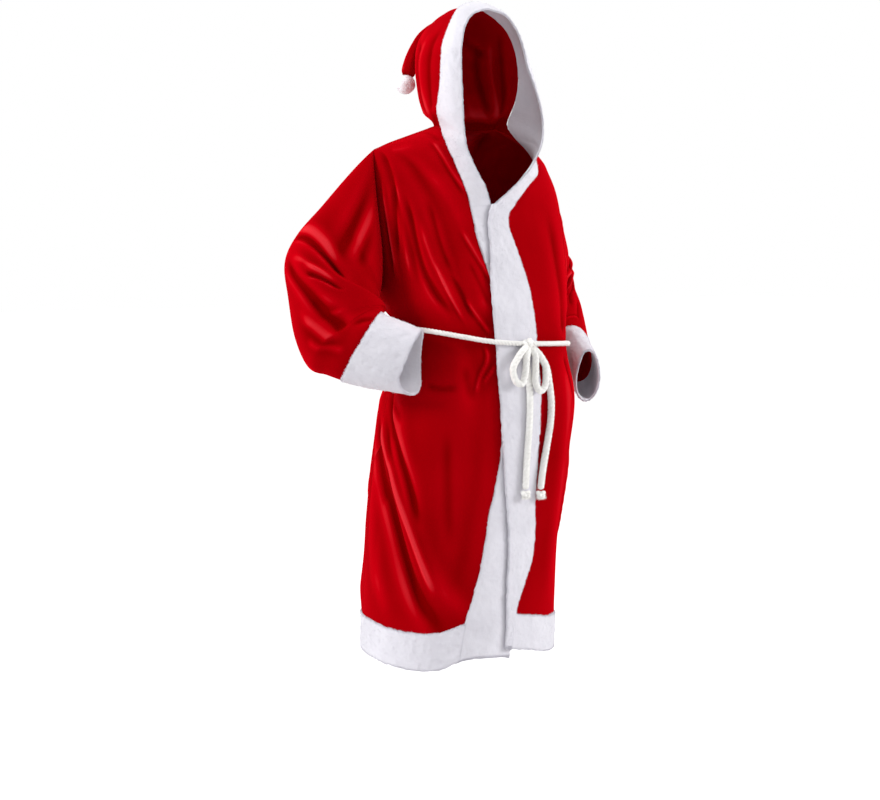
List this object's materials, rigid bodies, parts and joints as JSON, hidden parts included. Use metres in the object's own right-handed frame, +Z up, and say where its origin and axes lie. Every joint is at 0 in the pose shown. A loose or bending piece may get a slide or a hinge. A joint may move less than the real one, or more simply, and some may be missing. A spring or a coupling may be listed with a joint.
{
  "type": "santa robe",
  "caption": "Long red velvet hooded robe with white plush trims on hood, fronts, cuffs and hem, tied at the waist with a white rope belt, in the shape it has when worn",
  "frame": {"origin": "on the shoulder line at the middle of the neck, where the robe hangs on the wearer", "axes": "+Z up, -Y the front of the robe, +X the wearer's left"},
  "size_m": [0.8656, 0.4276, 1.5296],
  "materials": {
    "velvet": "short pile velvet with a soft sheen",
    "plush": "white plush with a short dense pile",
    "rope": "twisted cotton-like rope"
  },
  "bodies": {
    "root": {"back": "velvet", "front_right": "velvet", "front_left": "velvet", "sleeve_right": "velvet", "sleeve_left": "velvet", "cuff_right": "plush", "cuff_left": "plush", "hood_right": "velvet", "hood_left": "velvet", "hood_trim": "plush", "hood_tail": "velvet", "pompom": "plush", "band_right": "plush", "band_left": "plush", "hem_back": "plush", "hem_right": "plush", "hem_left": "plush", "belt": "rope", "belt_end_right": "rope", "belt_end_left": "rope", "end_knot_right": "rope", "end_knot_left": "rope"}
  },
  "joints": []
}
